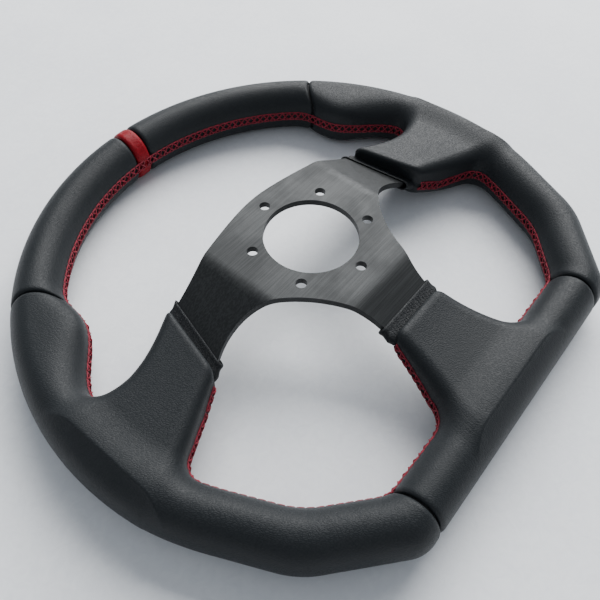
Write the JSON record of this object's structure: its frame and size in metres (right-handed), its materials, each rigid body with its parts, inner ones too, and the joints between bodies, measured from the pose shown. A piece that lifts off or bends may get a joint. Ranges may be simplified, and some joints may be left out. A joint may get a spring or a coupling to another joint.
{
  "type": "racing wheel",
  "caption": "Flat-bottomed racing wheel: stitched leather rim with thumb rests on a bent, brushed hub plate with a centre bore and a ring of bolt holes.",
  "frame": {"origin": "centre of the hub bore, on the face of the hub plate that bolts against the boss", "axes": "+Z along the hub axis, away from the driver; +Y in the wheel's plane towards the red centre band at 12 o'clock; +X to the right as seen from +Z"},
  "size_m": [0.3468, 0.3186, 0.0482],
  "materials": {
    "brushed_plate": "brushed, black anodised",
    "armature_steel": "mill",
    "rivet_steel": "satin",
    "foam": "matte",
    "black_leather": "satin, fine grain",
    "red_leather": "satin",
    "red_thread": "matte"
  },
  "bodies": {
    "root": {"spoke_plate": "brushed_plate", "rim_armature": "armature_steel", "armature_tab_left": "armature_steel", "armature_tab_right": "armature_steel", "armature_tab_bottom": "armature_steel", "rivet_left_upper": "rivet_steel", "rivet_left_lower": "rivet_steel", "rivet_right_upper": "rivet_steel", "rivet_right_lower": "rivet_steel", "rivet_bottom_left": "rivet_steel", "rivet_bottom_right": "rivet_steel", "foam_core": "foam", "leather_top_left": "black_leather", "leather_top_right": "black_leather", "leather_left": "black_leather", "leather_right": "black_leather", "leather_bottom": "black_leather", "centre_band": "red_leather", "cuff_left": "black_leather", "cuff_right": "black_leather", "cuff_bottom": "black_leather", "stitch_top_left": "red_thread", "stitch_top_right": "red_thread", "stitch_left_upper": "red_thread", "stitch_left_lower": "red_thread", "stitch_right_upper": "red_thread", "stitch_right_lower": "red_thread", "stitch_bottom_left": "red_thread", "stitch_bottom_right": "red_thread"}
  },
  "joints": []
}
